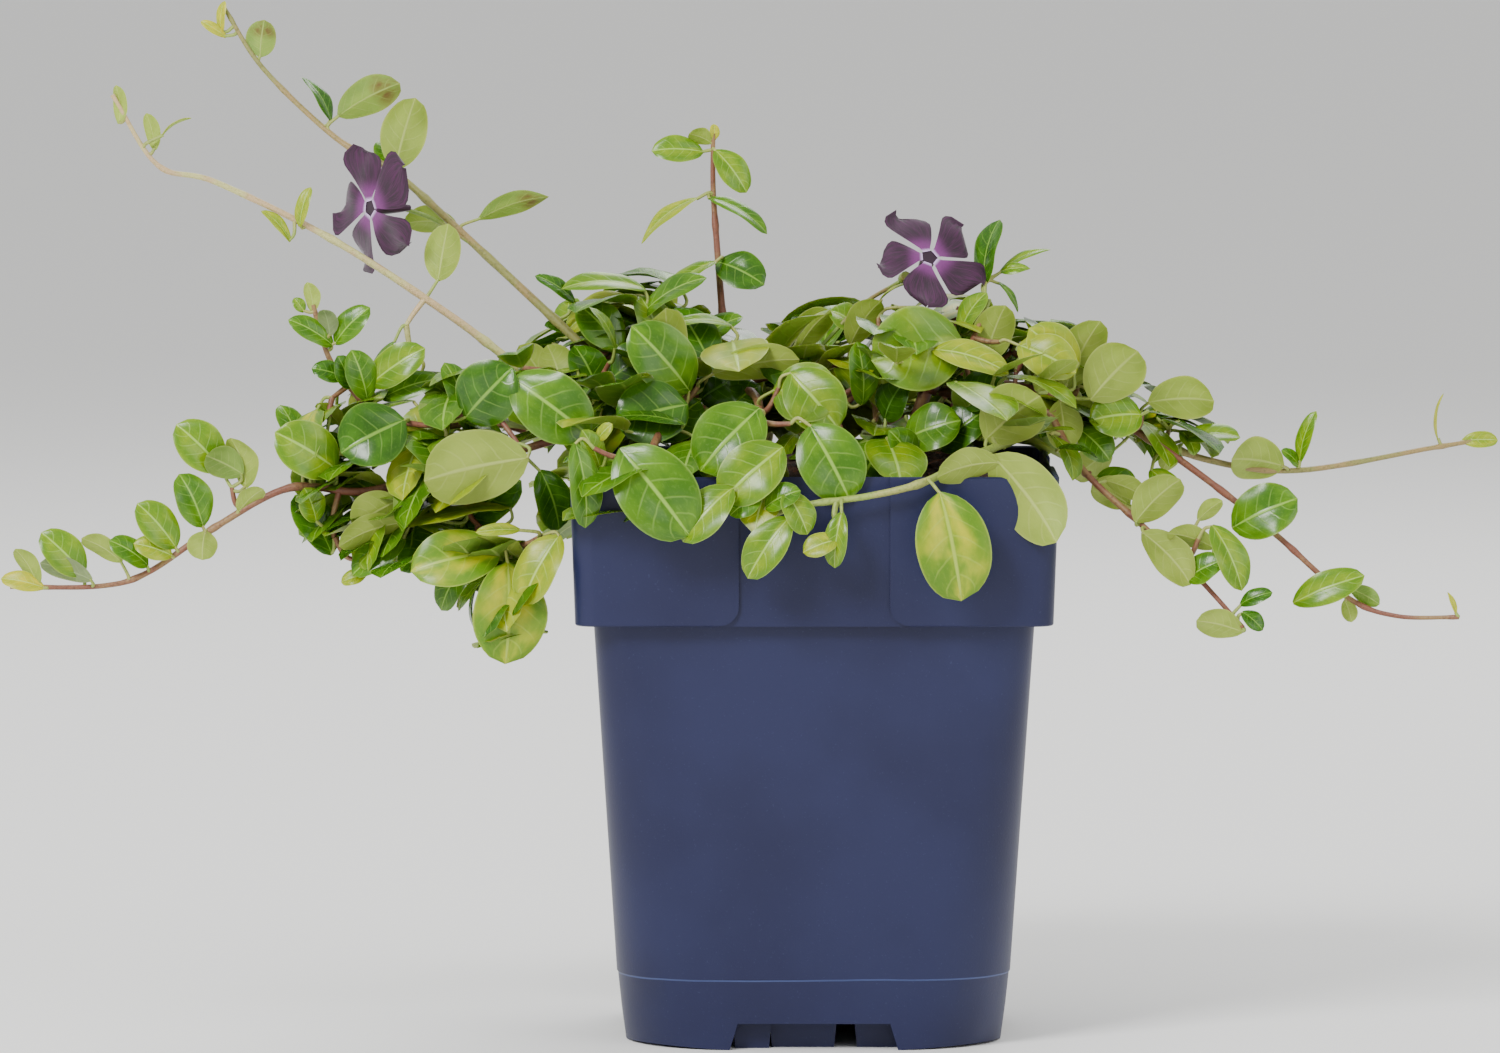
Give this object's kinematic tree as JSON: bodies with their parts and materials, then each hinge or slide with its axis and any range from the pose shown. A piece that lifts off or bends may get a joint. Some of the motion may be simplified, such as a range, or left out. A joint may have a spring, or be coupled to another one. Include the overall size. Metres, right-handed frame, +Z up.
{
  "type": "potted atropurpurea lesser periwinkle",
  "caption": "Lesser periwinkle with long trailing runners, glossy green leaves and dark purple flowers, growing in a square dark blue nursery pot.",
  "frame": {"origin": "centre of the flat underside of the pot, on the middle bar that it stands on", "axes": "+X to the right along the pot's front, the way the runners spread; -Y out of the pot's front; +Z up"},
  "size_m": [0.3469, 0.1421, 0.2359],
  "materials": {
    "pot_plastic": "injection moulded polypropylene, dark navy blue, fine matt grain",
    "peat": "moist peat compost with fibres, crumbs and white perlite grains",
    "stems": "thin smooth bark, from pale green through olive to reddish brown",
    "leaves": "smooth glossy evergreen leaves with a pale midrib and margin, paler beneath",
    "petals": "velvety deep purple petals with a pale throat"
  },
  "bodies": {
    "root": {"pot": "pot_plastic", "soil": "peat", "stem_left": "stems", "stem_right": "stems", "runner_high_left": "stems", "runner_pale_left": "stems", "shoot_left": "stems", "runner_low_left": "stems", "shoot_upright": "stems", "runner_right": "stems", "runner_far_right": "stems", "runner_low_right": "stems", "runner_front": "stems", "runner_back": "stems", "flower_left": "petals", "flower_right": "petals", "leaves_high_left_tip": "leaves", "leaves_high_left": "leaves", "leaves_high_left_inner": "leaves", "leaves_pale_left_tip": "leaves", "leaves_pale_left": "leaves", "leaves_shoot_left": "leaves", "leaves_low_left_inner": "leaves", "leaves_low_left": "leaves", "leaves_low_left_tip": "leaves", "mass_left_outer": "leaves", "mass_left_upper": "leaves", "mass_left_inner": "leaves", "mass_left_front": "leaves", "mass_left_under": "leaves", "mass_left_middle": "leaves", "mass_left_hanging": "leaves", "crown_left": "leaves", "crown_top_left": "leaves", "crown_middle_left": "leaves", "crown_front_left": "leaves", "crown_front_middle": "leaves", "crown_middle": "leaves", "crown_middle_right": "leaves", "crown_right": "leaves", "crown_front_right": "leaves", "leaf_hanging_front": "leaves", "sprig_front": "leaves", "mass_right_inner": "leaves", "mass_right_outer": "leaves", "leaves_right": "leaves", "leaves_right_tip": "leaves", "leaves_far_right": "leaves", "leaves_far_right_tip": "leaves", "leaves_low_right": "leaves", "leaves_low_right_tip": "leaves", "leaves_upright_top": "leaves", "leaves_upright_low": "leaves", "crown_back_left": "leaves", "crown_back_middle": "leaves", "crown_back_right": "leaves", "mass_back_left": "leaves", "mass_back_right": "leaves", "leaves_back_tip": "leaves"}
  },
  "joints": []
}
